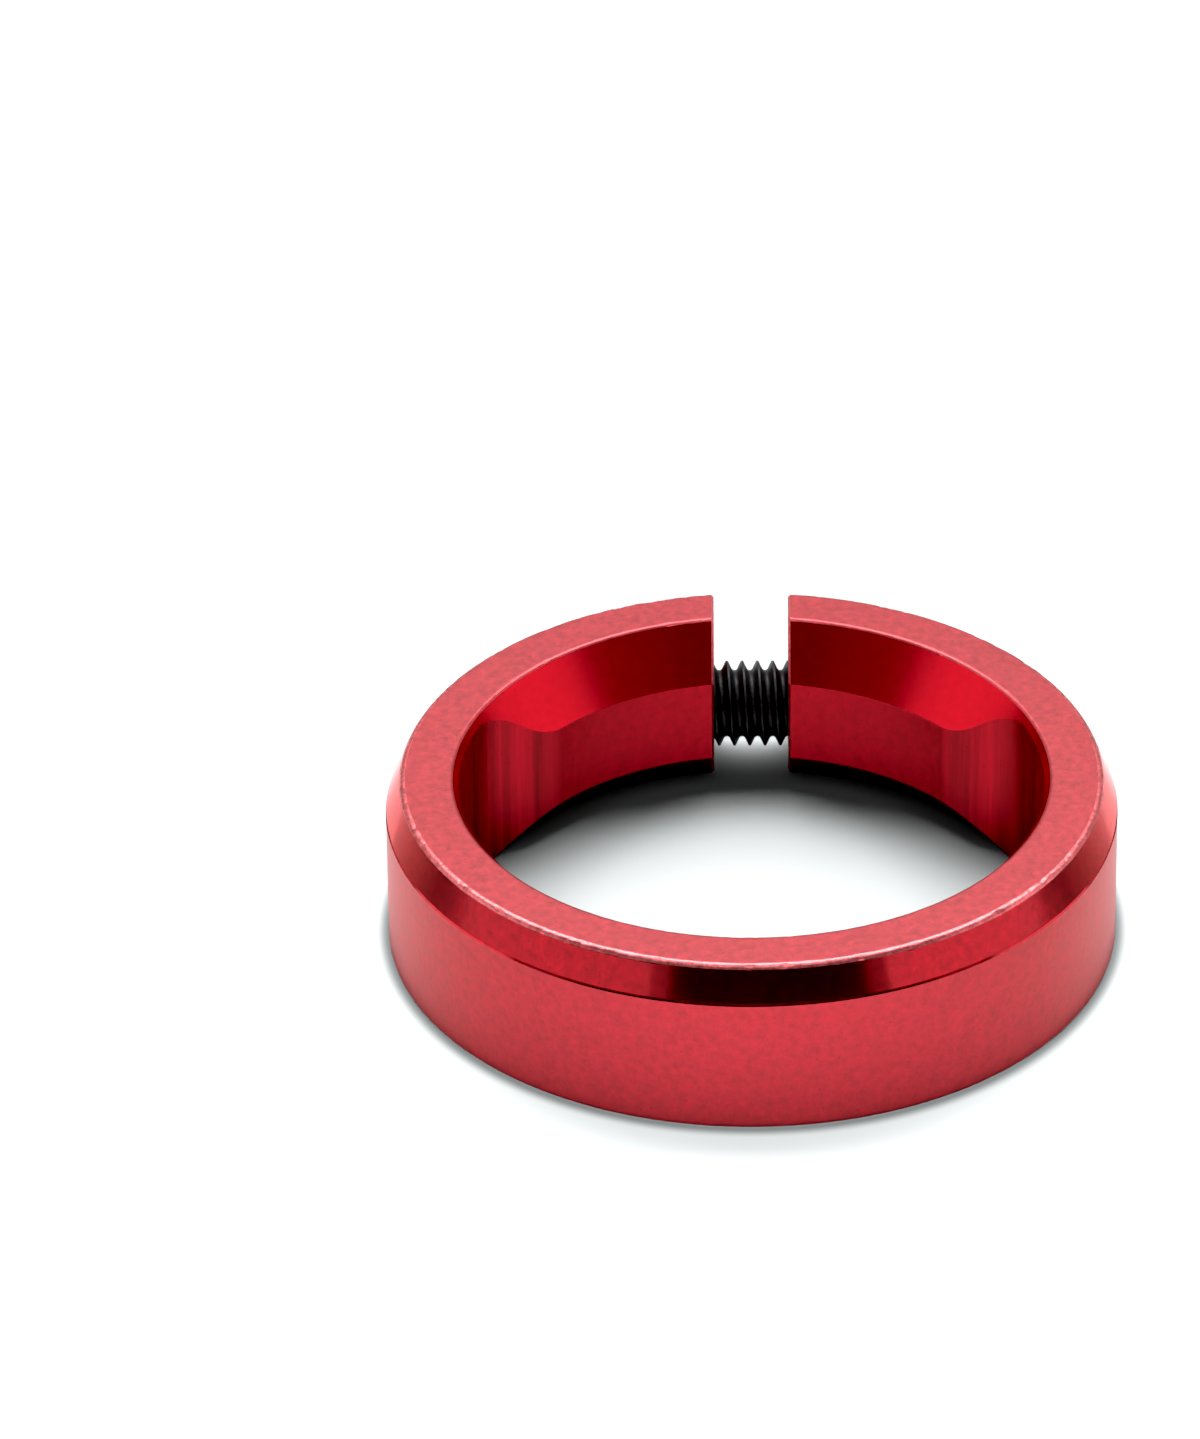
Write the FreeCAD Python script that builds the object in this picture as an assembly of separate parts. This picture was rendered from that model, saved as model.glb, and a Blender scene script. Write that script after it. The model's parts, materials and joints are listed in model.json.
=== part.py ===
"""Grip lock ring: a split aluminium ring that a screw across its split draws tight on a handlebar.

Millimetres. The bar's axis is Z, and the chamfered face looks along +Z. The origin is on that axis, in
the plane of the plain face. The split is at +Y, and the screw crosses it along X with its head at +X.
"""
import math
import os

import FreeCAD
import Part

# Bar, and the radial play that the open ring leaves round it
BAR_DIAMETER = 22.2
OPEN_PLAY = 0.35

# Ring wall: what is left of it inside and outside the screw that crosses it
INNER_SKIN = 0.2
OUTER_SKIN = 0.6

# Ring, outside
RING_WIDTH = 8.0
CHAMFER_RISE = 1.6
CHAMFER_INSET = 0.7
EDGE_ROUND = 0.15

# Ring, inside: lugs that grip the bar, and pockets between them for the tongues of the grip's sleeve
LUG_HALF_ANGLE = 48.0
LUG_SHOULDER_RADIUS = 5.0
POCKET_DEPTH = 1.55
POCKET_CORNER_RADIUS = 3.5
MOUTH_LIP = 0.3
MOUTH_HALF_ANGLE = 38.0
FOOT_HEIGHT = 1.7
FOOT_HALF_ANGLE = 41.0

# Split, and the arm's thickness under the screw's head
SPLIT_WIDTH = 3.4
SEAT_THICKNESS = 3.4

# Screw
THREAD_DIAMETER = 3.9
THREAD_LENGTH = 10.0
TIP_CHAMFER = 0.45
HEAD_DIAMETER = 5.5
HEAD_HEIGHT = 2.5
HEAD_ROUND = 0.4
SOCKET_ACROSS_FLATS = 2.5
SOCKET_DEPTH = 1.4
SOCKET_POINT_HALF_ANGLE = 59.0

# Radial clearances of the screw
THREAD_CLEARANCE = 0.05
SHANK_CLEARANCE = 0.1
HEAD_CLEARANCE = 0.2

# Fits worked out from the sizes above
THREAD_RADIUS = THREAD_DIAMETER / 2
TAPPED_RADIUS = THREAD_RADIUS + THREAD_CLEARANCE
LUG_RADIUS = BAR_DIAMETER / 2 + OPEN_PLAY
SCREW_RADIUS = LUG_RADIUS + INNER_SKIN + TAPPED_RADIUS
OUTER_RADIUS = SCREW_RADIUS + TAPPED_RADIUS + OUTER_SKIN
POCKET_RADIUS = LUG_RADIUS + POCKET_DEPTH
MOUTH_RADIUS = POCKET_RADIUS + MOUTH_LIP
WALL_HEIGHT = RING_WIDTH - CHAMFER_RISE
SCREW_HEIGHT = WALL_HEIGHT / 2
SEAT_X = SPLIT_WIDTH / 2 + SEAT_THICKNESS

# How far a cutting tool runs past the stock
OVERRUN = 1.0

X_AXIS = FreeCAD.Vector(1, 0, 0)
Z_AXIS = FreeCAD.Vector(0, 0, 1)


def polar(radius, angle):
    """Return the point at a radius and an angle in degrees, counted from the split towards +X."""
    turn = math.radians(angle)
    return FreeCAD.Vector(radius * math.sin(turn), radius * math.cos(turn), 0)


def arc(start, middle, end):
    """Return the edge of an arc through three points."""
    return Part.Arc(start, middle, end).toShape()


def arc_about(centre, start, end):
    """Return the shorter arc from start to end about a centre."""
    outward = (start - centre) + (end - centre)
    middle = centre + outward.normalize() * start.distanceToPoint(centre)
    return arc(start, middle, end)


def rounded_outline(corners):
    """Return a closed face from corners, each a point with the radius that rounds it, or none."""
    edges = []
    first = None
    last = None
    for index, (corner, radius) in enumerate(corners):
        to_previous = (corners[index - 1][0] - corner).normalize()
        to_next = (corners[(index + 1) % len(corners)][0] - corner).normalize()
        half = to_previous.getAngle(to_next) / 2
        entry = corner + to_previous * (radius / math.tan(half))
        leave = corner + to_next * (radius / math.tan(half))
        if last is None:
            first = entry
        else:
            edges.append(Part.LineSegment(last, entry).toShape())
        if radius:
            inward = (to_previous + to_next).normalize()
            edges.append(arc(entry, corner + inward * (radius / math.sin(half) - radius), leave))
        last = leave
    edges.append(Part.LineSegment(last, first).toShape())
    return Part.Face(Part.Wire(edges))


def turned_blank():
    """Return the ring as it leaves the lathe: chamfered outside, coned inside at both faces."""
    bore = LUG_RADIUS - OVERRUN
    mouth_fall = (MOUTH_RADIUS - bore) / math.tan(math.radians(MOUTH_HALF_ANGLE))
    foot_radius = LUG_RADIUS + FOOT_HEIGHT * math.tan(math.radians(FOOT_HALF_ANGLE))
    foot_rise = (foot_radius - bore) / math.tan(math.radians(FOOT_HALF_ANGLE))
    section = [
        (FreeCAD.Vector(foot_radius, 0, 0), 0),
        (FreeCAD.Vector(OUTER_RADIUS, 0, 0), EDGE_ROUND),
        (FreeCAD.Vector(OUTER_RADIUS, 0, WALL_HEIGHT), 0),
        (FreeCAD.Vector(OUTER_RADIUS - CHAMFER_INSET, 0, RING_WIDTH), EDGE_ROUND),
        (FreeCAD.Vector(MOUTH_RADIUS, 0, RING_WIDTH), EDGE_ROUND),
        (FreeCAD.Vector(bore, 0, RING_WIDTH - mouth_fall), 0),
        (FreeCAD.Vector(bore, 0, foot_rise), 0),
    ]
    return rounded_outline(section).revolve(FreeCAD.Vector(0, 0, 0), Z_AXIS, 360)


def shoulder(lug_angle, side):
    """Return the lug end, the pocket end and the two tangent arcs between them, lug first."""
    lug_centre_radius = LUG_RADIUS + LUG_SHOULDER_RADIUS
    pocket_centre_radius = POCKET_RADIUS - POCKET_CORNER_RADIUS
    reach = LUG_SHOULDER_RADIUS + POCKET_CORNER_RADIUS
    cosine = (lug_centre_radius ** 2 + pocket_centre_radius ** 2 - reach ** 2) / (
        2 * lug_centre_radius * pocket_centre_radius)
    lug_end = lug_angle + side * LUG_HALF_ANGLE
    pocket_end = lug_end + side * math.degrees(math.acos(cosine))
    lug_centre = polar(lug_centre_radius, lug_end)
    pocket_centre = polar(pocket_centre_radius, pocket_end)
    meeting = lug_centre + (pocket_centre - lug_centre) * (LUG_SHOULDER_RADIUS / reach)
    arcs = [
        arc_about(lug_centre, polar(LUG_RADIUS, lug_end), meeting),
        arc_about(pocket_centre, meeting, polar(POCKET_RADIUS, pocket_end)),
    ]
    return lug_end, pocket_end, arcs


def bore_core():
    """Return the prism that clears the bore: lugs at the split and opposite it, pockets between."""
    edges = []
    for lug_angle in (0, 180):
        lug_start, pocket_before, arcs_in = shoulder(lug_angle, -1)
        lug_end, pocket_after, arcs_out = shoulder(lug_angle, 1)
        next_pocket_end = pocket_before + 180
        edges.extend(reversed(arcs_in))
        edges.append(arc(*(polar(LUG_RADIUS, angle) for angle in (lug_start, lug_angle, lug_end))))
        edges.extend(arcs_out)
        pocket_middle = (pocket_after + next_pocket_end) / 2
        pocket_angles = (pocket_after, pocket_middle, next_pocket_end)
        edges.append(arc(*(polar(POCKET_RADIUS, angle) for angle in pocket_angles)))
    outline = Part.Face(Part.Wire(Part.__sortEdges__(edges)))
    outline.translate(-Z_AXIS * OVERRUN)
    return outline.extrude(Z_AXIS * (RING_WIDTH + 2 * OVERRUN))


def split_slot():
    """Return the straight cut through the wall between the two screw lugs."""
    length = OUTER_RADIUS + OVERRUN
    corner = FreeCAD.Vector(-SPLIT_WIDTH / 2, 0, -OVERRUN)
    return Part.makeBox(SPLIT_WIDTH, length, RING_WIDTH + 2 * OVERRUN, corner)


def across_split(radius, start, length):
    """Return a cylinder on the screw's axis, from start towards +X, or towards -X for a negative length."""
    direction = X_AXIS if length > 0 else -X_AXIS
    return Part.makeCylinder(radius, abs(length), FreeCAD.Vector(start, SCREW_RADIUS, SCREW_HEIGHT), direction)


def screw_bores():
    """Return the cuts for the screw: counterbore and clearance hole at +X, tapped hole out at -X."""
    run_out = OUTER_RADIUS + OVERRUN
    return [
        across_split(THREAD_RADIUS + SHANK_CLEARANCE, 0, SEAT_X + OVERRUN),
        across_split(HEAD_DIAMETER / 2 + HEAD_CLEARANCE, SEAT_X, run_out - SEAT_X),
        across_split(TAPPED_RADIUS, 0, -run_out),
    ]


def clamp_ring():
    """Return the finished ring."""
    ring = turned_blank()
    for cutter in [bore_core(), split_slot()] + screw_bores():
        ring = ring.cut(cutter)
    return ring.removeSplitter()


def hex_socket():
    """Return the hexagonal key socket with its drilled point, opening at the head's end face."""
    corner_radius = SOCKET_ACROSS_FLATS / 2 / math.cos(math.radians(30))
    end_x = SEAT_X + HEAD_HEIGHT
    corners = []
    for step in range(7):
        corner = polar(corner_radius, 60 * step)
        corners.append(FreeCAD.Vector(end_x + OVERRUN, SCREW_RADIUS + corner.x, SCREW_HEIGHT + corner.y))
    prism = Part.Face(Part.makePolygon(corners)).extrude(-X_AXIS * (SOCKET_DEPTH + OVERRUN))
    drill_radius = SOCKET_ACROSS_FLATS / 2
    drill_point = drill_radius / math.tan(math.radians(SOCKET_POINT_HALF_ANGLE))
    floor = FreeCAD.Vector(end_x - SOCKET_DEPTH, SCREW_RADIUS, SCREW_HEIGHT)
    return prism.fuse(Part.makeCone(drill_radius, 0, drill_point, floor, -X_AXIS))


def clamp_screw():
    """Return the socket screw with a plain shank of the thread's outside diameter."""
    head_radius = HEAD_DIAMETER / 2
    tip_x = SEAT_X - THREAD_LENGTH
    end_x = SEAT_X + HEAD_HEIGHT
    profile = [
        ((tip_x, 0), 0),
        ((tip_x, THREAD_RADIUS - TIP_CHAMFER), 0),
        ((tip_x + TIP_CHAMFER, THREAD_RADIUS), 0),
        ((SEAT_X, THREAD_RADIUS), 0),
        ((SEAT_X, head_radius), 0),
        ((end_x, head_radius), HEAD_ROUND),
        ((end_x, 0), 0),
    ]
    corners = []
    for (along, out), radius in profile:
        corners.append((FreeCAD.Vector(along, SCREW_RADIUS + out, SCREW_HEIGHT), radius))
    axis_point = FreeCAD.Vector(0, SCREW_RADIUS, SCREW_HEIGHT)
    return rounded_outline(corners).revolve(axis_point, X_AXIS, 360).cut(hex_socket())


os.makedirs("parts", exist_ok=True)
clamp_ring().exportStep("parts/clamp_ring.step")
clamp_screw().exportStep("parts/clamp_screw.step")
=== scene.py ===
"""Grip lock ring: the finished ring and its screw, with floor, light and camera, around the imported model."""

import json
import logging
import math
from dataclasses import dataclass, field
from enum import Enum
from typing import Callable, Iterable

import bmesh
import bpy
from mathutils import Matrix, Vector, noise


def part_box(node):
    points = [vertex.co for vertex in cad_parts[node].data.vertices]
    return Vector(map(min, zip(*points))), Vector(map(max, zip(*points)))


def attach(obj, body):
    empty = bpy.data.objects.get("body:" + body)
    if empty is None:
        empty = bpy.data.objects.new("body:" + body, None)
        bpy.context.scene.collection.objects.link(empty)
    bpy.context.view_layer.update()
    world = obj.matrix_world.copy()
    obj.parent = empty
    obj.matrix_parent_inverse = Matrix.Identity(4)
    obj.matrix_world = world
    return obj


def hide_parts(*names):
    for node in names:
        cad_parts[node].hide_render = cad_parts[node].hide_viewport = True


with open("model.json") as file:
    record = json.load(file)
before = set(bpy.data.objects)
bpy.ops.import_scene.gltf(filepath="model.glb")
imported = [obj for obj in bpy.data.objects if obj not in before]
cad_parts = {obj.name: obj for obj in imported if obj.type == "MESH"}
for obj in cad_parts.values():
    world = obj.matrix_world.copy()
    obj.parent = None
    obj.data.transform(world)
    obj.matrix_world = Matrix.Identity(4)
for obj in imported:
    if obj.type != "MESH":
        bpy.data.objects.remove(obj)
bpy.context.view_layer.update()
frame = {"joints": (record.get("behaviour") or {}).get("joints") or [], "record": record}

log = logging.getLogger("grip_lock_ring")

MM = 0.001
PHOTO_HEIGHT_PX = 1439
MERGE_DISTANCE = 1e-7
WELD_DISTANCE = 1e-6
NEAR = 0.01 * MM
SNUG = 0.005 * MM
# The share of a normal along an axis past which its face counts as square on to that axis.
SQUARE_ON = 0.999
PINHOLE_SIDES = 6
HEX_SIDES = 6
X_AXIS = Vector((1, 0, 0))
Z_AXIS = Vector((0, 0, 1))


class Zone(Enum):
    """Parts of the ring's surface that a different tool has left."""

    FACE = "ring_face"
    WALL = "ring_wall"
    TURNED = "ring_turned"
    CONE = "ring_cone"
    LUG = "ring_lug"
    POCKET = "ring_pocket"
    SAWN = "ring_sawn"
    EDGE = "ring_edge"


class LightReach(Enum):
    """What a light falls on."""

    FLOOR = "floor"
    PIECES = "pieces"


class CardUse(Enum):
    """What a card in the studio is for."""

    DARKEN = "a soft dark shape in the ring's reflections"
    SHADE = "a shadow on the floor"


def deselect_all() -> None:
    """Leave nothing selected in the scene."""
    bpy.ops.object.select_all(action="DESELECT")


def work_on(piece: bpy.types.Object) -> None:
    """Make one object the only selected and active one.

    Args:
        piece: The object to work on.
    """
    deselect_all()
    piece.select_set(True)
    bpy.context.view_layer.objects.active = piece


def select_in_edit(piece: bpy.types.Object, wanted: Callable[[bmesh.types.BMEdge], bool]) -> int:
    """Select the edges that pass a test, in edit mode, and nothing else.

    Args:
        piece: The object in edit mode.
        wanted: The test of one edge.

    Returns:
        How many edges are selected.
    """
    bpy.ops.mesh.select_mode(type="EDGE")
    bpy.ops.mesh.select_all(action="DESELECT")
    shape = bmesh.from_edit_mesh(piece.data)
    count = 0
    for edge in shape.edges:
        if wanted(edge):
            edge.select_set(True)
            count += 1
    shape.select_flush_mode()
    bmesh.update_edit_mesh(piece.data)
    return count


def select_faces_in_edit(piece: bpy.types.Object, wanted: Callable[[bmesh.types.BMFace], bool]) -> int:
    """Select the faces that pass a test, in edit mode, and nothing else.

    Args:
        piece: The object in edit mode.
        wanted: The test of one face.

    Returns:
        How many faces are selected.
    """
    bpy.ops.mesh.select_mode(type="FACE")
    bpy.ops.mesh.select_all(action="DESELECT")
    shape = bmesh.from_edit_mesh(piece.data)
    count = 0
    for face in shape.faces:
        if wanted(face):
            face.select_set(True)
            count += 1
    bmesh.update_edit_mesh(piece.data)
    return count


def clean_shell(piece: bpy.types.Object) -> None:
    """Merge a mesh's doubles, close its pinholes and turn its faces outwards.

    Args:
        piece: The object to clean.
    """
    work_on(piece)
    bpy.ops.object.mode_set(mode="EDIT")
    bpy.ops.mesh.select_all(action="SELECT")
    bpy.ops.mesh.remove_doubles(threshold=MERGE_DISTANCE)
    bpy.ops.mesh.fill_holes(sides=PINHOLE_SIDES)
    bpy.ops.mesh.select_all(action="SELECT")
    bpy.ops.mesh.normals_make_consistent(inside=False)
    bpy.ops.object.mode_set(mode="OBJECT")


def apply_boolean(piece: bpy.types.Object, tool: bpy.types.Object, operation: str) -> None:
    """Combine a piece with a tool and delete the tool.

    Args:
        piece: The object that stays.
        tool: The object that is used up.
        operation: DIFFERENCE, UNION or INTERSECT.
    """
    cut = piece.modifiers.new(operation.lower(), "BOOLEAN")
    cut.operation = operation
    cut.solver = "MANIFOLD"
    cut.object = tool
    work_on(piece)
    bpy.ops.object.modifier_apply(modifier=cut.name)
    # The solver can leave an empty slot, which would move every finish by one place.
    piece.data.materials.clear()
    bpy.data.objects.remove(tool, do_unlink=True)


def rod_along_x(name: str, radius: float, start: Vector, end_x: float, sides: int) -> bpy.types.Object:
    """Return a cylinder along X.

    Args:
        name: The new object's name.
        radius: Its radius.
        start: The centre of its first end.
        end_x: Where its other end lies along X.
        sides: How many sides it has.

    Returns:
        The cylinder, with its place in its mesh.
    """
    deselect_all()
    middle = Vector(((start.x + end_x) / 2, start.y, start.z))
    bpy.ops.mesh.primitive_cylinder_add(
        vertices=sides, radius=radius, depth=abs(end_x - start.x), location=middle,
        rotation=(0, math.pi / 2, 0))
    rod = bpy.context.object
    rod.name = name
    bpy.ops.object.transform_apply(location=True, rotation=True, scale=True)
    return rod


def new_material(
        name: str) -> tuple[bpy.types.Material, bpy.types.Nodes, bpy.types.NodeLinks, bpy.types.ShaderNode]:
    """Make a material with an open node tree.

    Args:
        name: The new material's name.

    Returns:
        The material, its nodes, their links and its shader.
    """
    made = bpy.data.materials.new(name)
    made.use_nodes = True
    nodes = made.node_tree.nodes
    return made, nodes, made.node_tree.links, nodes["Principled BSDF"]


@dataclass
class LockRing:
    """The split ring, turned, milled, slit and drilled from one piece."""

    outer_radius: float
    width: float
    lug_radius: float
    screw_axis: Vector
    chamfer_rise: float = 1.6 * MM
    chamfer_inset: float = 0.7 * MM
    tool_line: float = 0.065 * MM
    foot_edge_round: float = 0.22 * MM
    top_edge_round: float = 0.3 * MM
    mouth_edge_round: float = 0.24 * MM
    hold_width: float = 0.05 * MM
    lug_half_angle: float = math.radians(48.0)
    lug_shoulder_radius: float = 5.0 * MM
    pocket_depth: float = 1.55 * MM
    pocket_corner_radius: float = 3.5 * MM
    mouth_lip: float = 0.3 * MM
    mouth_half_angle: float = math.radians(38.0)
    foot_height: float = 1.7 * MM
    foot_half_angle: float = math.radians(41.0)
    split_width: float = 3.4 * MM
    clearance_hole_radius: float = 2.05 * MM
    counterbore_radius: float = 2.95 * MM
    tapped_hole_radius: float = 2.0 * MM
    split_edge_break: float = 0.1 * MM
    hole_edge_break: float = 0.06 * MM
    hole_break_segments: int = 2
    hole_edge_angles: tuple[float, float] = (math.radians(20.0), math.radians(125.0))
    smooth_angle: float = math.radians(8.0)
    flat_angle: float = math.radians(32.0)
    shading_angle: float = math.radians(20.0)
    rim_nick_reach: float = 0.55
    mouth_nick_reach: float = 0.42
    nick_length: float = 0.3 * MM
    nick_depth: float = 0.05 * MM
    nick_rarity: float = 0.1
    mouth_nick_share: float = 0.3
    turn_steps: int = 720
    round_segments: int = 6
    drill_sides: int = 96
    counterbore_sides: int = 128
    overrun: float = 1.0 * MM
    bore_normal: float = 0.01
    split_share: float = 0.999
    split_break_normals: tuple[float, float] = (0.05, 0.995)
    wall_normal: float = 0.98
    chamfer_normals: tuple[float, float] = (0.38, 0.42)
    cone_normal: float = 0.2
    lip_normal: float = 0.63
    zones: dict[Zone, bpy.types.Material] = field(default_factory=dict)

    @property
    def pocket_radius(self) -> float:
        """The radius of the pockets' walls."""
        return self.lug_radius + self.pocket_depth

    @property
    def mouth_radius(self) -> float:
        """The radius where the cone meets the top face."""
        return self.pocket_radius + self.mouth_lip

    @property
    def foot_radius(self) -> float:
        """The radius where the lower cone meets the bottom face."""
        return self.lug_radius + self.foot_height * math.tan(self.foot_half_angle)

    def build(self) -> bpy.types.Object:
        """Model the ring and dress it.

        Returns:
            The finished ring.
        """
        ring = self._turn_blank()
        self._nick_edges(ring)
        self._mill_pockets(ring)
        apply_boolean(ring, self._split_tool(), "DIFFERENCE")
        self._break_split_edges(ring)
        for tool in self._screw_tools():
            apply_boolean(ring, tool, "DIFFERENCE")
        clean_shell(ring)
        self._break_hole_edges(ring)
        self._dress(ring)
        return ring

    def _section(self) -> list[Vector]:
        """Draw the turned section, with its round edges, in the XZ plane.

        Returns:
            The points of its outline, in order.
        """
        wall_height = self.width - self.chamfer_rise
        slope = self.chamfer_inset / self.chamfer_rise
        wall_top = self.width - (self.mouth_radius - self.lug_radius) / math.tan(self.mouth_half_angle)
        corners = [
            (Vector((self.foot_radius, 0, 0)), 0.0),
            (Vector((self.outer_radius, 0, 0)), self.foot_edge_round),
            (Vector((self.outer_radius, 0, wall_height - self.tool_line)), 0.0),
            (Vector((self.outer_radius - self.tool_line, 0, wall_height)), 0.0),
            (Vector((self.outer_radius - self.tool_line * slope, 0, wall_height + self.tool_line)), 0.0),
            (Vector((self.outer_radius - self.chamfer_inset, 0, self.width)), self.top_edge_round),
            (Vector((self.mouth_radius, 0, self.width)), self.mouth_edge_round),
            (Vector((self.lug_radius, 0, wall_top)), 0.0),
            (Vector((self.lug_radius, 0, self.foot_height)), 0.0),
        ]
        outline: list[Vector] = []
        for index, (corner, radius) in enumerate(corners):
            if not radius:
                outline.append(corner)
                continue
            before = (corners[index - 1][0] - corner).normalized()
            after = (corners[(index + 1) % len(corners)][0] - corner).normalized()
            outline.extend(self._round_corner(corner, before, after, radius))
        return outline

    def _round_corner(self, corner: Vector, before: Vector, after: Vector, radius: float) -> list[Vector]:
        """Return the points of a fillet.

        Args:
            corner: The sharp corner.
            before: The direction back along the outline.
            after: The direction on along the outline.
            radius: The fillet's radius.

        Returns:
            The points of the arc, and one on each flat beside it that keeps the flat's shading flat.
        """
        half = before.angle(after) / 2
        centre = corner + (before + after).normalized() * (radius / math.sin(half))
        first = corner + before * (radius / math.tan(half)) - centre
        last = corner + after * (radius / math.tan(half)) - centre
        steps = [step / self.round_segments for step in range(self.round_segments + 1)]
        arc = [centre + first.normalized().slerp(last.normalized(), step) * radius for step in steps]
        return [arc[0] + before * self.hold_width, *arc, arc[-1] + after * self.hold_width]

    def _turn_blank(self) -> bpy.types.Object:
        """Turn the section through a full circle.

        Returns:
            The blank.
        """
        outline = self._section()
        deselect_all()
        bpy.ops.mesh.primitive_circle_add(
            vertices=len(outline), radius=self.outer_radius, fill_type="NOTHING")
        ring = bpy.context.object
        ring.name = "split_ring"
        for vertex, point in zip(ring.data.vertices, outline):
            vertex.co = point
        bpy.ops.object.mode_set(mode="EDIT")
        bpy.ops.mesh.select_all(action="SELECT")
        bpy.ops.mesh.spin(steps=self.turn_steps, angle=2 * math.pi, center=(0, 0, 0), axis=Z_AXIS)
        bpy.ops.object.mode_set(mode="OBJECT")
        clean_shell(ring)
        return ring

    def _nick_edges(self, ring: bpy.types.Object) -> None:
        """Dent the rounded top edges a little, as handling does.

        Args:
            ring: The turned blank.
        """
        rim = Vector((self.outer_radius - self.chamfer_inset, self.width))
        mouth = Vector((self.mouth_radius, self.width))
        for vertex in ring.data.vertices:
            place = Vector((math.hypot(vertex.co.x, vertex.co.y), vertex.co.z))
            on_rim = (place - rim).length < self.rim_nick_reach * self.top_edge_round
            on_mouth = (place - mouth).length < self.mouth_nick_reach * self.mouth_edge_round
            if not on_rim and not on_mouth:
                continue
            dent = max(0.0, noise.noise(vertex.co / self.nick_length) - self.nick_rarity) * self.nick_depth
            outwards = Vector((vertex.co.x, vertex.co.y, 0)).normalized()
            inwards = -outwards if on_rim else outwards
            vertex.co += (inwards - Z_AXIS) * dent * (1.0 if on_rim else self.mouth_nick_share)

    def _bore_radius(self, angle: float) -> float:
        """Work out the bore's radius at one angle, where lugs blend into pockets.

        Args:
            angle: The angle round the bar from the split, in radians.

        Returns:
            The radius of the bore's wall there.
        """
        lug_centre = self.lug_radius + self.lug_shoulder_radius
        pocket_centre = self.pocket_radius - self.pocket_corner_radius
        reach = self.lug_shoulder_radius + self.pocket_corner_radius
        cosine = (lug_centre ** 2 + pocket_centre ** 2 - reach ** 2) / (2 * lug_centre * pocket_centre)
        blend = math.acos(cosine)
        pocket_start = self.lug_half_angle + blend
        share = self.lug_shoulder_radius / reach
        meeting = Vector((lug_centre, 0)).lerp(
            Vector((pocket_centre * math.cos(blend), pocket_centre * math.sin(blend))), share)
        meeting_angle = self.lug_half_angle + math.atan2(meeting.y, meeting.x)
        folded = min(abs(angle), math.pi - abs(angle))
        if folded <= self.lug_half_angle:
            return self.lug_radius
        if folded <= meeting_angle:
            off = folded - self.lug_half_angle
            return lug_centre * math.cos(off) - math.sqrt(
                self.lug_shoulder_radius ** 2 - (lug_centre * math.sin(off)) ** 2)
        if folded <= pocket_start:
            off = pocket_start - folded
            return pocket_centre * math.cos(off) + math.sqrt(
                self.pocket_corner_radius ** 2 - (pocket_centre * math.sin(off)) ** 2)
        return self.pocket_radius

    def _mill_pockets(self, ring: bpy.types.Object) -> None:
        """Move the bore's wall out to the pockets, along the cones above and below it.

        Args:
            ring: The turned blank.
        """
        for vertex in ring.data.vertices:
            flat = Vector((vertex.co.x, vertex.co.y))
            on_wall = abs(flat.length - self.lug_radius) < NEAR
            on_foot = abs(flat.length - self.foot_radius) < NEAR and vertex.co.z < NEAR
            if not on_wall and not on_foot:
                continue
            radius = self._bore_radius(math.atan2(flat.x, flat.y))
            if on_foot:
                radius = max(radius, self.foot_radius)
                height = 0.0
            elif vertex.co.z > self.width / 2:
                height = self.width - (self.mouth_radius - radius) / math.tan(self.mouth_half_angle)
            else:
                height = max(0.0, (self.foot_radius - radius) / math.tan(self.foot_half_angle))
            flat = flat.normalized() * radius
            vertex.co = (flat.x, flat.y, height)
        clean_shell(ring)

    def _split_tool(self) -> bpy.types.Object:
        """Make the block that the saw takes out, as wide as the broken edges.

        Returns:
            The block.
        """
        deselect_all()
        length = self.outer_radius + self.overrun
        bpy.ops.mesh.primitive_cube_add(
            size=1, location=(0, length / 2, self.width / 2),
            scale=(self.split_width + 2 * self.split_edge_break, length, self.width + 2 * self.overrun))
        bpy.ops.object.transform_apply(location=True, rotation=True, scale=True)
        return bpy.context.object

    def _screw_tools(self) -> Iterable[bpy.types.Object]:
        """Make the tools that cut the screw's bore.

        Yields:
            The drill, the counterbore and the tapping drill.
        """
        run_out = self.outer_radius + self.overrun
        seat = self.screw_axis
        middle = Vector((0, seat.y, seat.z))
        past_seat = seat.x + self.overrun
        yield rod_along_x("drill", self.clearance_hole_radius, middle, past_seat, self.drill_sides)
        yield rod_along_x("counterbore", self.counterbore_radius, seat, run_out, self.counterbore_sides)
        yield rod_along_x("tapping_drill", self.tapped_hole_radius, middle, -run_out, self.drill_sides)

    def _break_split_edges(self, ring: bpy.types.Object) -> None:
        """Raise the two sawn faces to the split's width, with a bevel round each.

        Args:
            ring: The ring after it is slit.
        """
        work_on(ring)
        bpy.ops.object.mode_set(mode="EDIT")
        select_faces_in_edit(ring, self._is_sawn)
        bpy.ops.mesh.dissolve_faces()
        bpy.ops.mesh.inset(
            thickness=self.split_edge_break, depth=self.split_edge_break, use_even_offset=True)
        bpy.ops.object.mode_set(mode="OBJECT")

    def _is_sawn(self, face: bmesh.types.BMFace) -> bool:
        """Say whether a face is one that the saw has left.

        Args:
            face: One face of the slit ring.

        Returns:
            True beside the split.
        """
        half = self.split_width / 2 + self.split_edge_break
        centre = face.calc_center_median()
        return centre.y > 0 and abs(face.normal.x) > SQUARE_ON and abs(abs(centre.x) - half) < SNUG

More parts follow.
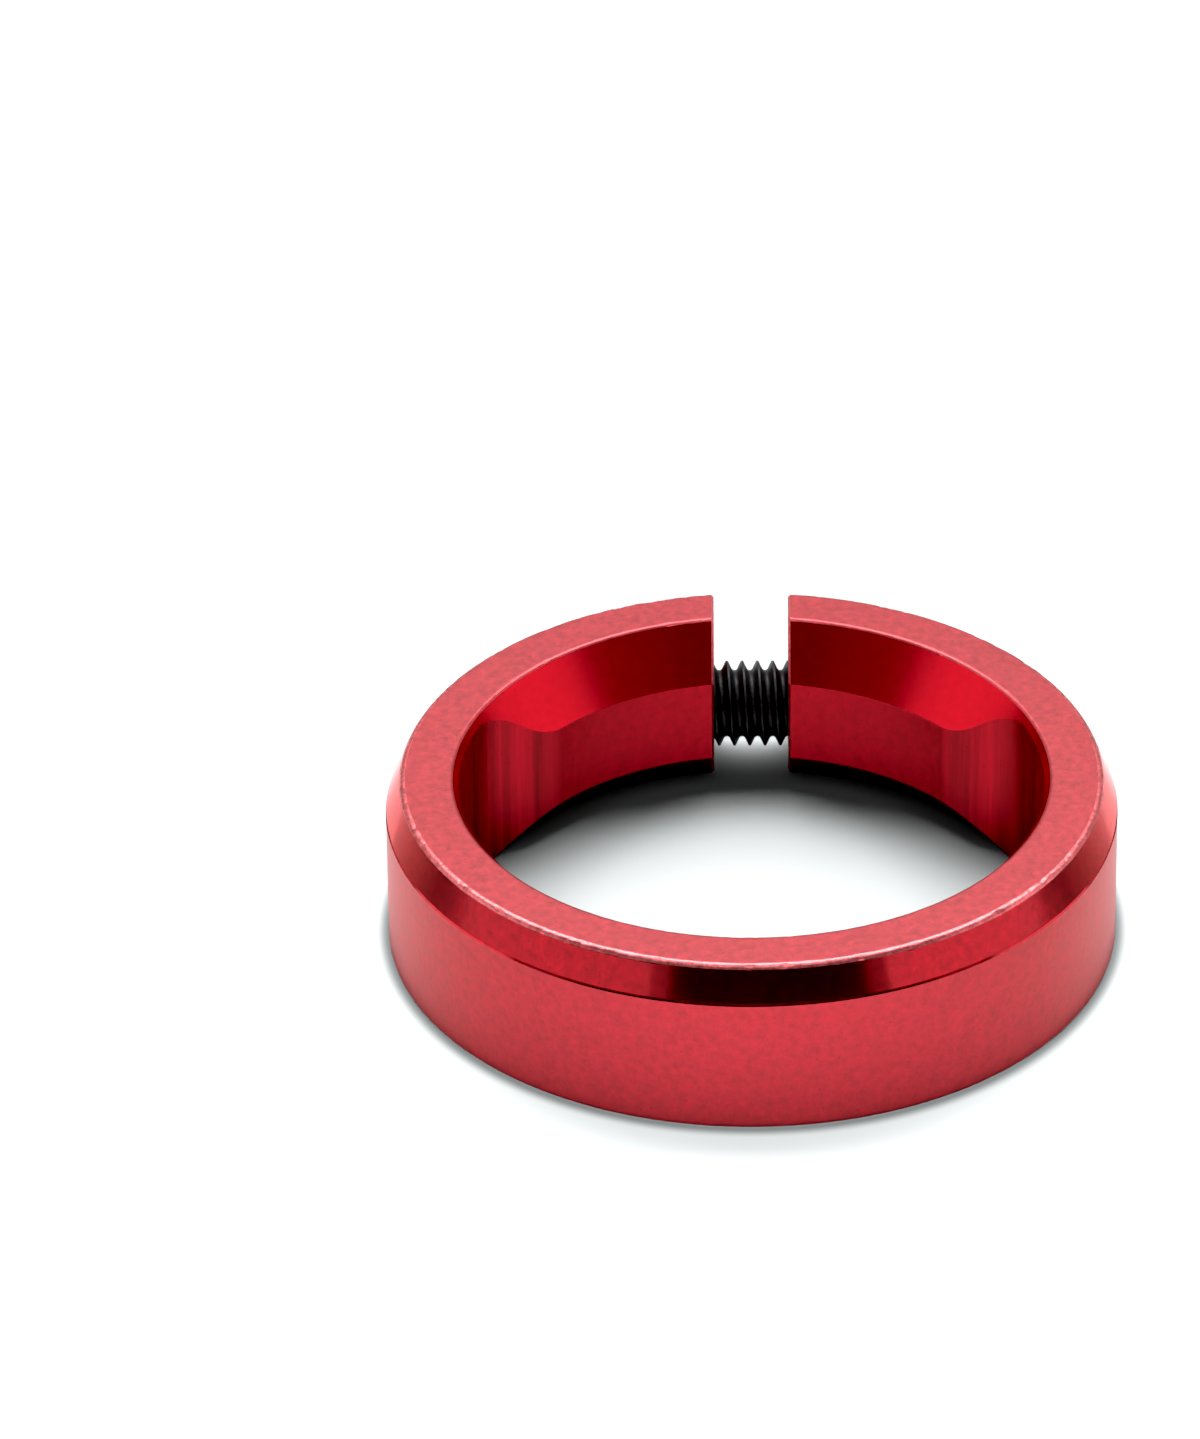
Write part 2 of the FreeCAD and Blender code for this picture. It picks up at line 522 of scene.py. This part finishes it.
    def _break_hole_edges(self, ring: bpy.types.Object) -> None:
        """Bevel the two screw holes where they open through the wall.

        Args:
            ring: The ring after it is drilled.
        """
        work_on(ring)
        bpy.ops.object.mode_set(mode="EDIT")
        if select_in_edit(ring, self._runs_along_mouth):
            bpy.ops.mesh.dissolve_edges(use_verts=True)
        if select_in_edit(ring, self._on_mouth):
            bpy.ops.mesh.bevel(
                offset=self.hole_edge_break, segments=self.hole_break_segments, affect="EDGES",
                loop_slide=False)
        bpy.ops.object.mode_set(mode="OBJECT")

    def _on_mouth(self, edge: bmesh.types.BMEdge) -> bool:
        """Say whether an edge bounds a hole in the wall, away from its feather end.

        Args:
            edge: One edge of the drilled ring.

        Returns:
            True on a hole's edge.
        """
        for vertex in edge.verts:
            radius = self.counterbore_radius if vertex.co.x > 0 else self.tapped_hole_radius
            start = self.screw_axis.x + SNUG if vertex.co.x > 0 else self.split_width
            off_screw = math.hypot(vertex.co.y - self.screw_axis.y, vertex.co.z - self.screw_axis.z)
            if abs(off_screw - radius) > SNUG or vertex.co.y < 0 or abs(vertex.co.x) < start:
                return False
        flattest, sharpest = self.hole_edge_angles
        return len(edge.link_faces) == 2 and flattest < edge.calc_face_angle() < sharpest

    def _runs_along_mouth(self, edge: bmesh.types.BMEdge) -> bool:
        """Say whether an edge of one smooth face meets a hole's mouth at a flat angle.

        Args:
            edge: One edge of the drilled ring.

        Returns:
            True for an edge that would spoil the bevel.
        """
        if len(edge.link_faces) != 2 or edge.calc_face_angle() > self.smooth_angle:
            return False
        for vertex in edge.verts:
            away = edge.other_vert(vertex).co - vertex.co
            for rim in vertex.link_edges:
                if rim is not edge and self._on_mouth(rim):
                    lean = away.angle(rim.other_vert(vertex).co - vertex.co)
                    if min(lean, math.pi - lean) < self.flat_angle:
                        return True
        return False

    def _zone(self, face: bpy.types.MeshPolygon) -> Zone:
        """Tell which tool has left a face, by its place and its normal.

        Args:
            face: One face of the finished ring.

        Returns:
            The face's zone.
        """
        centre = face.center
        radius = math.hypot(centre.x, centre.y)
        outward = (face.normal.x * centre.x + face.normal.y * centre.y) / radius
        off_screw = math.hypot(centre.y - self.screw_axis.y, centre.z - self.screw_axis.z)
        bores = (self.clearance_hole_radius, self.counterbore_radius, self.tapped_hole_radius)
        beside_bore = any(abs(off_screw - bore) < NEAR for bore in bores)
        in_bore = beside_bore and abs(face.normal.x) < self.bore_normal
        on_seat = off_screw < self.counterbore_radius and face.normal.x > SQUARE_ON
        half_split = self.split_width / 2 + self.split_share * self.split_edge_break
        in_split = centre.y > 0 and abs(centre.x) < half_split
        if in_split or (centre.y > 0 and (in_bore or on_seat)):
            low, high = self.split_break_normals
            return Zone.EDGE if in_split and low < abs(face.normal.x) < high else Zone.SAWN
        if abs(face.normal.z) > SQUARE_ON:
            return Zone.FACE
        if outward > self.wall_normal or (outward > 0 and centre.z < self.foot_edge_round):
            return Zone.WALL
        if outward > 0:
            low, high = self.chamfer_normals
            on_line = centre.z < self.width - self.chamfer_rise + self.tool_line
            return Zone.TURNED if on_line or low < face.normal.z < high else Zone.EDGE
        if abs(face.normal.z) > self.cone_normal:
            return Zone.FACE if face.normal.z > self.lip_normal else Zone.CONE
        folded = math.atan2(abs(centre.x), abs(centre.y))
        return Zone.LUG if folded < self.lug_half_angle else Zone.POCKET

    def _dress(self, ring: bpy.types.Object) -> None:
        """Give each zone its finish and the ring its smooth shading.

        Args:
            ring: The modelled ring.
        """
        order = list(self.zones)
        for zone in order:
            ring.data.materials.append(self.zones[zone])
        for face in ring.data.polygons:
            face.material_index = order.index(self._zone(face))
        work_on(ring)
        bpy.ops.object.shade_smooth_by_angle(angle=self.shading_angle)
        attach(ring, "ring")
        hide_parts("clamp_ring")


@dataclass
class ClampScrew:
    """The socket screw, with its thread and key socket."""

    seat: Vector
    thread_radius: float = 1.95 * MM
    pitch: float = 0.7 * MM
    thread_depth: float = 0.43 * MM
    crest_share: float = 0.125
    root_round: float = 0.16 * MM
    root_segments: int = 4
    flank_angle: float = math.radians(60.0)
    spare_turns: int = 2
    length: float = 10.0 * MM
    tip_chamfer: float = 0.45 * MM
    head_radius: float = 2.75 * MM
    head_height: float = 2.5 * MM
    head_round: float = 0.4 * MM
    head_round_segments: int = 6
    head_sides: int = 96
    shank_in_head: float = 0.625 * MM
    envelope_play: float = 0.01 * MM
    socket_across_flats: float = 2.5 * MM
    socket_depth: float = 1.4 * MM
    overrun: float = 1.0 * MM
    sides: int = 72
    shading_angle: float = math.radians(28.0)
    finish: bpy.types.Material | None = None

    def build(self) -> bpy.types.Object:
        """Model the screw and dress it.

        Returns:
            The finished screw.
        """
        screw = self._thread()
        apply_boolean(screw, self._envelope(), "INTERSECT")
        clean_shell(screw)
        apply_boolean(screw, self._head(), "UNION")
        clean_shell(screw)
        screw.data.materials.clear()
        screw.data.materials.append(self.finish)
        for face in screw.data.polygons:
            face.material_index = 0
        work_on(screw)
        bpy.ops.object.shade_smooth_by_angle(angle=self.shading_angle)
        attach(screw, "screw")
        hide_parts("clamp_screw")
        return screw

    def _thread_profile(self) -> list[tuple[float, float]]:
        """Draw one pitch of the thread, from root to root.

        Returns:
            Places along the screw, each with its radius.
        """
        steps = [self.flank_angle * step / self.root_segments for step in range(self.root_segments + 1)]
        root = self.thread_radius - self.thread_depth
        bend = self.root_round
        rising = [(bend * math.sin(step), root + bend * (1 - math.cos(step))) for step in steps]
        rising.append((self.pitch * (0.5 - self.crest_share / 2), self.thread_radius))
        falling = [(self.pitch - along, out) for along, out in reversed(rising)]
        return rising + falling

    def _thread(self) -> bpy.types.Object:
        """Wind a rod with a right-hand thread, longer than the screw at both ends.

        Returns:
            The threaded rod.
        """
        profile = self._thread_profile()
        deselect_all()
        bpy.ops.mesh.primitive_circle_add(
            vertices=len(profile), radius=self.thread_radius, fill_type="NOTHING")
        rod = bpy.context.object
        rod.name = "socket_screw"
        start = self.seat.x - self.length - self.spare_turns * self.pitch
        for vertex, (along, out) in zip(rod.data.vertices, profile):
            vertex.co = (start + along, 0, out)
        bpy.ops.object.mode_set(mode="EDIT")
        last = len(profile) - 1
        select_in_edit(rod, lambda edge: {vertex.index for vertex in edge.verts} == {0, last})
        bpy.ops.mesh.delete(type="EDGE_FACE")
        bpy.ops.object.mode_set(mode="OBJECT")
        wind = rod.modifiers.new("wind", "SCREW")
        wind.axis = "X"
        wind.screw_offset = self.pitch
        wind.iterations = math.ceil(self.length / self.pitch) + 2 * self.spare_turns
        wind.steps = wind.render_steps = self.sides
        wind.use_merge_vertices = True
        wind.merge_threshold = MERGE_DISTANCE
        work_on(rod)
        bpy.ops.object.modifier_apply(modifier=wind.name)
        bpy.ops.object.mode_set(mode="EDIT")
        bpy.ops.mesh.select_all(action="SELECT")
        bpy.ops.mesh.remove_doubles(threshold=WELD_DISTANCE)
        bpy.ops.mesh.fill_holes(sides=0)
        bpy.ops.mesh.normals_make_consistent(inside=False)
        bpy.ops.mesh.select_all(action="SELECT")
        bpy.ops.transform.translate(value=(0, self.seat.y, self.seat.z))
        bpy.ops.object.mode_set(mode="OBJECT")
        return rod

    def _envelope(self) -> bpy.types.Object:
        """Make the rod that the thread is cut from, with its chamfered tip.

        Returns:
            The rod.
        """
        tip = self.seat.x - self.length
        shoulder = Vector((tip + self.tip_chamfer, self.seat.y, self.seat.z))
        radius = self.thread_radius + self.envelope_play
        rod = rod_along_x("envelope", radius, shoulder, self.seat.x + self.shank_in_head, self.sides)
        bpy.ops.object.mode_set(mode="EDIT")
        select_in_edit(rod, lambda edge: self._lies_at(edge, shoulder.x))
        bpy.ops.mesh.extrude_region_move(TRANSFORM_OT_translate={"value": (-self.tip_chamfer, 0, 0)})
        shrink = (radius - self.tip_chamfer) / radius
        bpy.ops.transform.resize(value=(1, shrink, shrink), center_override=(tip, self.seat.y, self.seat.z))
        bpy.ops.object.mode_set(mode="OBJECT")
        return rod

    def _head(self) -> bpy.types.Object:
        """Make the head with its round edge and key socket.

        Returns:
            The head.
        """
        end = self.seat.x + self.head_height
        head = rod_along_x("head", self.head_radius, self.seat, end, self.head_sides)
        work_on(head)
        bpy.ops.object.mode_set(mode="EDIT")
        select_in_edit(head, lambda edge: self._lies_at(edge, end))
        bpy.ops.mesh.bevel(offset=self.head_round, segments=self.head_round_segments, affect="EDGES")
        bpy.ops.object.mode_set(mode="OBJECT")
        corner = self.socket_across_flats / 2 / math.cos(math.pi / HEX_SIDES)
        bottom = Vector((end - self.socket_depth, self.seat.y, self.seat.z))
        socket = rod_along_x("socket", corner, bottom, end + self.overrun, HEX_SIDES)
        apply_boolean(head, socket, "DIFFERENCE")
        return head

    @staticmethod
    def _lies_at(edge: bmesh.types.BMEdge, along: float) -> bool:
        """Say whether both ends of an edge lie at one place along the screw."""
        return all(abs(vertex.co.x - along) < MERGE_DISTANCE for vertex in edge.verts)


@dataclass(frozen=True)
class AnodisedFinish:
    """Dyed anodised aluminium, with the grain that one tool has left on it."""

    name: str
    colour: tuple[float, float, float] = (0.53, 0.006, 0.017)
    metallic: float = 1.0
    roughness: float = 0.36
    roughness_spread: float = 0.06
    rim_tint: tuple[float, float, float] = (0.8, 0.25, 0.25)
    coat_weight: float = 1.0
    coat_roughness: float = 0.3
    coat_ior: float = 1.5
    grain_per_metre: float = 2600.0
    grain_detail: float = 4.0
    grain_roughness: float = 0.7
    grain_height: float = 0.004 * MM
    tone_range: tuple[float, float] = (0.3, 0.7)
    tone_spread: float = 0.1
    stretch: tuple[float, float, float] = (1.0, 1.0, 1.0)
    pits_per_metre: float = 1500.0
    pit_size: float = 0.1
    pit_tone: tuple[float, float, float] = (0.6, 0.6, 0.6)

    def material(self) -> bpy.types.Material:
        """Mix the finish.

        Returns:
            Its material.
        """
        made, nodes, links, shader = new_material(self.name)
        shader.inputs["Metallic"].default_value = self.metallic
        shader.inputs["Specular Tint"].default_value = (*self.rim_tint, 1.0)
        shader.inputs["Coat Weight"].default_value = self.coat_weight
        shader.inputs["Coat Roughness"].default_value = self.coat_roughness
        shader.inputs["Coat IOR"].default_value = self.coat_ior
        place = nodes.new("ShaderNodeTexCoord")
        turn = nodes.new("ShaderNodeMapping")
        turn.inputs["Scale"].default_value = self.stretch
        links.new(place.outputs["Object"], turn.inputs["Vector"])
        grain = nodes.new("ShaderNodeTexNoise")
        grain.inputs["Scale"].default_value = self.grain_per_metre
        grain.inputs["Detail"].default_value = self.grain_detail
        grain.inputs["Roughness"].default_value = self.grain_roughness
        links.new(turn.outputs["Vector"], grain.inputs["Vector"])
        bump = nodes.new("ShaderNodeBump")
        bump.inputs["Strength"].default_value = 1.0
        bump.inputs["Distance"].default_value = self.grain_height
        links.new(grain.outputs["Fac"], bump.inputs["Height"])
        links.new(bump.outputs["Normal"], shader.inputs["Normal"])
        tone = nodes.new("ShaderNodeValToRGB")
        dark = tuple((1 - self.tone_spread) * channel for channel in self.colour) + (1.0,)
        light = tuple((1 + self.tone_spread) * channel for channel in self.colour) + (1.0,)
        tone.color_ramp.elements[0].position = self.tone_range[0]
        tone.color_ramp.elements[0].color = dark
        tone.color_ramp.elements[1].position = self.tone_range[1]
        tone.color_ramp.elements[1].color = light
        links.new(grain.outputs["Fac"], tone.inputs["Fac"])
        pits = nodes.new("ShaderNodeTexVoronoi")
        pits.inputs["Scale"].default_value = self.pits_per_metre
        links.new(place.outputs["Object"], pits.inputs["Vector"])
        pitted = nodes.new("ShaderNodeMapRange")
        pitted.inputs["From Min"].default_value = self.pit_size / 2
        pitted.inputs["From Max"].default_value = self.pit_size
        pitted.inputs["To Min"].default_value = 1.0
        pitted.inputs["To Max"].default_value = 0.0
        links.new(pits.outputs["Distance"], pitted.inputs["Value"])
        stain = nodes.new("ShaderNodeMix")
        stain.data_type = "RGBA"
        stain.blend_type = "MULTIPLY"
        stain.inputs["B"].default_value = (*self.pit_tone, 1.0)
        links.new(pitted.outputs["Result"], stain.inputs["Factor"])
        links.new(tone.outputs["Color"], stain.inputs["A"])
        links.new(stain.outputs["Result"], shader.inputs["Base Color"])
        spread = nodes.new("ShaderNodeMapRange")
        spread.inputs["To Min"].default_value = self.roughness - self.roughness_spread
        spread.inputs["To Max"].default_value = self.roughness + self.roughness_spread
        links.new(grain.outputs["Fac"], spread.inputs["Value"])
        links.new(spread.outputs["Result"], shader.inputs["Roughness"])
        return made


RING_FINISHES: dict[Zone, AnodisedFinish] = {
    Zone.FACE: AnodisedFinish(
        Zone.FACE.value, colour=(0.49, 0.038, 0.048), metallic=0.85, roughness=0.4, coat_roughness=0.36,
        grain_height=0.012 * MM, tone_spread=0.24),
    Zone.WALL: AnodisedFinish(
        Zone.WALL.value, colour=(0.375, 0.007, 0.016), metallic=0.82, roughness=0.42, coat_weight=0.55,
        coat_roughness=0.36, grain_height=0.012 * MM, tone_spread=0.24),
    Zone.TURNED: AnodisedFinish(
        Zone.TURNED.value, roughness=0.13, roughness_spread=0.03, coat_weight=0.6, coat_roughness=0.1,
        grain_height=0.0016 * MM, tone_spread=0.26),
    Zone.EDGE: AnodisedFinish(
        Zone.EDGE.value, colour=(0.72, 0.13, 0.14), roughness=0.32, grain_per_metre=4500.0,
        grain_height=0.03 * MM, tone_spread=0.4),
    Zone.CONE: AnodisedFinish(
        Zone.CONE.value, roughness=0.26, roughness_spread=0.02, coat_weight=0.15, coat_roughness=0.2,
        grain_height=0.0004 * MM),
    # The lug and pocket walls have a darker colour than the turned faces. Part of this is their milled finish,
    # and part is a painted shade for the shadow inside the ring.
    Zone.LUG: AnodisedFinish(
        Zone.LUG.value, colour=(0.45, 0.006, 0.017), metallic=0.9, roughness=0.36, coat_weight=0.25,
        grain_height=0.008 * MM, tone_spread=0.2),
    Zone.POCKET: AnodisedFinish(
        Zone.POCKET.value, colour=(0.4, 0.006, 0.016), metallic=0.93, roughness=0.34, roughness_spread=0.08,
        coat_weight=0.25, grain_per_metre=1100.0, grain_height=0.008 * MM, tone_spread=0.5,
        stretch=(1, 1, 0.03)),
    Zone.SAWN: AnodisedFinish(
        Zone.SAWN.value, roughness=0.32, coat_weight=0.3, grain_height=0.002 * MM),
}


@dataclass(frozen=True)
class BlackOxideFinish:
    """Blackened steel, paler where it is rubbed."""

    name: str = "black_oxide_steel"
    colour: tuple[float, float, float] = (0.03, 0.03, 0.032)
    rubbed: tuple[float, float, float] = (0.06, 0.06, 0.061)
    metallic: float = 0.85
    roughness: float = 0.5
    grain_per_metre: float = 9000.0
    grain_detail: float = 4.0
    tone_range: tuple[float, float] = (0.4, 0.75)

    def material(self) -> bpy.types.Material:
        """Mix the finish.

        Returns:
            Its material.
        """
        made, nodes, links, shader = new_material(self.name)
        shader.inputs["Metallic"].default_value = self.metallic
        shader.inputs["Roughness"].default_value = self.roughness
        place = nodes.new("ShaderNodeTexCoord")
        grain = nodes.new("ShaderNodeTexNoise")
        grain.inputs["Scale"].default_value = self.grain_per_metre
        grain.inputs["Detail"].default_value = self.grain_detail
        links.new(place.outputs["Object"], grain.inputs["Vector"])
        tone = nodes.new("ShaderNodeValToRGB")
        tone.color_ramp.elements[0].position = self.tone_range[0]
        tone.color_ramp.elements[0].color = (*self.colour, 1.0)
        tone.color_ramp.elements[1].position = self.tone_range[1]
        tone.color_ramp.elements[1].color = (*self.rubbed, 1.0)
        links.new(grain.outputs["Fac"], tone.inputs["Fac"])
        links.new(tone.outputs["Color"], shader.inputs["Base Color"])
        return made


@dataclass(frozen=True)
class Softbox:
    """A soft light, placed by its bearing from the camera's side and by its height angle."""

    name: str
    bearing: float
    height: float
    width_angle: float
    height_angle: float
    radiance: float
    reach: LightReach
    distance: float = 0.8

    def hang(self, groups: dict[LightReach, bpy.types.Collection]) -> None:
        """Hang the light so that it looks at the ring.

        Args:
            groups: The things that a light of limited reach falls on.
        """
        bearing, height = math.radians(self.bearing), math.radians(self.height)
        level = math.cos(height)
        towards = Vector((math.sin(bearing) * level, -math.cos(bearing) * level, math.sin(height)))
        data = bpy.data.lights.new(self.name, "AREA")
        data.shape = "RECTANGLE"
        data.size = 2 * self.distance * math.tan(math.radians(self.width_angle / 2))
        data.size_y = 2 * self.distance * math.tan(math.radians(self.height_angle / 2))
        data.energy = self.radiance * math.pi * data.size * data.size_y
        light = bpy.data.objects.new(self.name, data)
        light.location = towards * self.distance
        light.rotation_euler = (-towards).to_track_quat("-Z", "Y").to_euler()
        bpy.context.scene.collection.objects.link(light)
        light.light_linking.receiver_collection = groups[self.reach]
        if self.reach is LightReach.PIECES:
            light.light_linking.blocker_collection = groups[self.reach]
        else:
            data.cycles.use_multiple_importance_sampling = False


@dataclass(frozen=True)
class Card:
    """A dark card that stands on the floor and faces the ring, out of the camera's sight."""

    name: str
    use: CardUse
    bearing: float
    width: float
    height: float
    distance: float
    colour: tuple[float, float, float] = (0.1, 0.1, 0.1)
    roughness: float = 0.9
    density: float = 0.86
    foot_share: float = 0.35

    def stand(self) -> None:
        """Stand the card in its place."""
        deselect_all()
        bearing = math.radians(self.bearing)
        place = (math.sin(bearing) * self.distance, -math.cos(bearing) * self.distance, self.height / 2)
        bpy.ops.mesh.primitive_plane_add(size=1, location=place, rotation=(math.pi / 2, 0, bearing))
        card = bpy.context.object
        card.name = self.name
        card.scale = (self.width, self.height, 1)
        bpy.ops.object.transform_apply(location=True, rotation=True, scale=True)
        card.data.materials.append(self._material())
        card.visible_camera = False
        card.visible_diffuse = False
        card.visible_shadow = self.use is CardUse.SHADE
        card.visible_glossy = self.use is CardUse.DARKEN

    def _material(self) -> bpy.types.Material:
        """Paint the card: thin at the sides of one that darkens, and at the foot of one that shades.

        Returns:
            The card's material.
        """
        made, nodes, links, shader = new_material(self.name)
        shader.inputs["Base Color"].default_value = (*self.colour, 1.0)
        shader.inputs["Roughness"].default_value = self.roughness
        place = nodes.new("ShaderNodeTexCoord")
        thin = nodes.new("ShaderNodeMapRange")
        thin.inputs["To Max"].default_value = self.density
        if self.use is CardUse.DARKEN:
            across = nodes.new("ShaderNodeMapping")
            across.inputs["Location"].default_value = (-1, 0, 0)
            across.inputs["Scale"].default_value = (2, 0, 0)
            links.new(place.outputs["UV"], across.inputs["Vector"])
            fade = nodes.new("ShaderNodeTexGradient")
            fade.gradient_type = "SPHERICAL"
            links.new(across.outputs["Vector"], fade.inputs["Vector"])
            links.new(fade.outputs["Fac"], thin.inputs["Value"])
        else:
            upwards = nodes.new("ShaderNodeSeparateXYZ")
            links.new(place.outputs["UV"], upwards.inputs["Vector"])
            thin.inputs["From Max"].default_value = self.foot_share
            links.new(upwards.outputs["Y"], thin.inputs["Value"])
        links.new(thin.outputs["Result"], shader.inputs["Alpha"])
        return made


@dataclass
class Studio:
    """The pale floor, the soft lights and the camera."""

    reach: float
    room_light: float = 0.015
    black_level: float = 0.009
    softboxes: tuple[Softbox, ...] = (
        Softbox("key_softbox", 180, 63, 66, 26, 7.3, LightReach.PIECES),
        Softbox("back_softbox", 180, 24, 110, 28, 0.72, LightReach.PIECES),
        Softbox("left_softbox", -98, 26, 40, 26, 1.5, LightReach.PIECES),
        Softbox("right_softbox", 98, 26, 40, 26, 1.5, LightReach.PIECES),
        Softbox("left_card", -65.5, 8, 69, 18, 0.88, LightReach.PIECES),
        Softbox("right_card", 70.5, 8, 59, 18, 1.0, LightReach.PIECES),
        Softbox("left_step", -27.5, 10, 7, 16, 0.42, LightReach.PIECES),
        Softbox("right_step", 37.5, 10, 7, 16, 0.33, LightReach.PIECES),
        Softbox("left_flank", -58, 36, 34, 20, 0.36, LightReach.PIECES),
        Softbox("right_flank", 58, 36, 34, 20, 0.36, LightReach.PIECES),
        Softbox("front_card", 0, 43, 60, 18, 0.22, LightReach.PIECES),
        Softbox("front_top", 0, 73, 30, 16, 3.2, LightReach.PIECES),
        Softbox("floor_key", 180, 56, 66, 44, 11.2, LightReach.FLOOR),
        Softbox("floor_strip", 0, 12, 70, 9, 120.0, LightReach.FLOOR, 0.35),
        Softbox("floor_fill", 0, 62, 60, 30, 0.3, LightReach.FLOOR),
    )
    cards: tuple[Card, ...] = (
        Card("left_flag", CardUse.DARKEN, -84, 60 * MM, 14 * MM, 30 * MM),
        Card("right_flag", CardUse.DARKEN, 84, 60 * MM, 14 * MM, 30 * MM),
        Card("split_shade", CardUse.SHADE, 180, 3.4 * MM, 7.9 * MM, 15.9 * MM, density=0.96),
    )
    floor_size: float = 4.0
    floor_colour: tuple[float, float, float] = (0.48, 0.5, 0.5)
    floor_roughness: float = 0.8
    floor_specular: float = 0.2
    # Painted shadow round the ring's foot: its darker floor colour and the width of its band.
    painted_shadow_colour: tuple[float, float, float] = (0.15, 0.16, 0.16)
    painted_shadow_width: float = 0.7 * MM
    distance_in_radii: float = 25.0
    elevation: float = math.radians(33.0966)
    pan: float = math.radians(-0.9554)
    tilt: float = math.radians(1.2948)
    roll: float = math.radians(-0.1785)
    focal_px: float = 9065.4
    sensor_mm: float = 36.0
    clip_start: float = 0.01

    def build(self, pieces: Iterable[bpy.types.Object]) -> None:
        """Set up floor, light and camera.

        Args:
            pieces: The pieces that stand on the floor.
        """
        self._lights({LightReach.FLOOR: [self._floor()], LightReach.PIECES: pieces})
        for card in self.cards:
            card.stand()
        for piece in pieces:
            piece.visible_diffuse = False
        self._camera()

    def _floor(self) -> bpy.types.Object:
        """Lay the floor and paint it.

        Returns:
            The floor.
        """
        deselect_all()
        bpy.ops.mesh.primitive_plane_add(size=self.floor_size)
        floor = bpy.context.object
        floor.name = "floor"
        floor.data.materials.append(self._floor_material())
        return floor

    def _floor_material(self) -> bpy.types.Material:
        """Mix the floor's pale finish, with a painted shadow in a narrow band round the ring's foot.

        Returns:
            The floor's material.
        """
        made, nodes, links, shader = new_material("floor_white_painted_shadow")
        shader.inputs["Roughness"].default_value = self.floor_roughness
        shader.inputs["Specular IOR Level"].default_value = self.floor_specular
        place = nodes.new("ShaderNodeTexCoord")
        out = nodes.new("ShaderNodeVectorMath")
        out.operation = "LENGTH"
        links.new(place.outputs["Object"], out.inputs[0])
        beside = nodes.new("ShaderNodeMath")
        beside.operation = "SUBTRACT"
        beside.inputs[1].default_value = self.reach
        links.new(out.outputs["Value"], beside.inputs[0])
        away = nodes.new("ShaderNodeMath")
        away.operation = "ABSOLUTE"
        links.new(beside.outputs["Value"], away.inputs[0])
        # Painted shadow: the floor's colour darkens towards the ring's outer radius, within the band's width.
        clear = nodes.new("ShaderNodeMapRange")
        clear.interpolation_type = "SMOOTHSTEP"
        clear.inputs["From Max"].default_value = self.painted_shadow_width
        links.new(away.outputs["Value"], clear.inputs["Value"])
        tone = nodes.new("ShaderNodeMix")
        tone.data_type = "RGBA"
        tone.inputs["A"].default_value = (*self.painted_shadow_colour, 1.0)
        tone.inputs["B"].default_value = (*self.floor_colour, 1.0)
        links.new(clear.outputs["Result"], tone.inputs["Factor"])
        links.new(tone.outputs["Result"], shader.inputs["Base Color"])
        return made

    def _lights(self, lit: dict[LightReach, Iterable[bpy.types.Object]]) -> None:
        """Hang the lights and set the room's own light.

        Args:
            lit: The things that a light of limited reach falls on.
        """
        groups = {reach: bpy.data.collections.new(f"{reach.value}_lit") for reach in lit}
        for reach, group in groups.items():
            for thing in lit[reach]:
                group.objects.link(thing)
        for softbox in self.softboxes:
            softbox.hang(groups)
        world = bpy.data.worlds.new("room")
        world.use_nodes = True
        background = world.node_tree.nodes["Background"]
        background.inputs["Color"].default_value = (1, 1, 1, 1)
        background.inputs["Strength"].default_value = self.room_light
        bpy.context.scene.world = world
        view = bpy.context.scene.view_settings
        view.view_transform = "Standard"
        view.use_curve_mapping = True
        view.curve_mapping.black_level = [self.black_level] * 3
        view.curve_mapping.update()

    def _camera(self) -> None:
        """Place the camera at the photograph's viewpoint."""
        distance = self.distance_in_radii * self.reach
        level, rise = math.cos(self.elevation), math.sin(self.elevation)
        forward, right, up = Vector((0, level, -rise)), X_AXIS.copy(), Vector((0, rise, level))
        place = -forward * distance
        forward, right = self._swing(forward, right, self.pan)
        forward, up = self._swing(forward, up, self.tilt)
        right, up = self._swing(right, up, self.roll)
        data = bpy.data.cameras.new("camera")
        data.sensor_width = self.sensor_mm
        data.lens = self.focal_px / PHOTO_HEIGHT_PX * self.sensor_mm
        data.clip_start = self.clip_start
        camera = bpy.data.objects.new("camera", data)
        turned = Matrix((right, up, -forward)).transposed()
        camera.matrix_world = Matrix.Translation(place) @ turned.to_4x4()
        bpy.context.scene.collection.objects.link(camera)
        bpy.context.scene.camera = camera

    @staticmethod
    def _swing(first: Vector, second: Vector, angle: float) -> tuple[Vector, Vector]:
        """Turn two square directions, the first towards the second.

        Args:
            first: The direction that leads.
            second: The direction that it turns towards.
            angle: The turn, in radians.

        Returns:
            Both directions after the turn.
        """
        near, far = math.cos(angle), math.sin(angle)
        return near * first + far * second, near * second - far * first


def main() -> None:
    """Build the ring, the screw and the studio, and note the sizes."""
    logging.basicConfig(level=logging.INFO, format="%(name)s: %(message)s")
    bar = next(mount for mount in frame["record"]["mounts"] if mount["name"] == "bar_clamp")
    turn = next(joint for joint in frame["joints"] if joint["name"] == "screw_turn")
    seat = Vector(turn["pos_m"])
    _, ring_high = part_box("clamp_ring")
    zones = {zone: finish.material() for zone, finish in RING_FINISHES.items()}
    ring = LockRing(outer_radius=ring_high.x, width=ring_high.z, lug_radius=bar["dims"]["r_mm"] * MM,
                    screw_axis=seat, zones=zones).build()
    log.info("%s has %d faces", ring.name, len(ring.data.polygons))
    screw = ClampScrew(seat=seat, finish=BlackOxideFinish().material()).build()
    log.info("%s has %d faces", screw.name, len(screw.data.polygons))
    Studio(reach=ring_high.x).build([ring, screw])


if __name__ == "__main__":
    main()
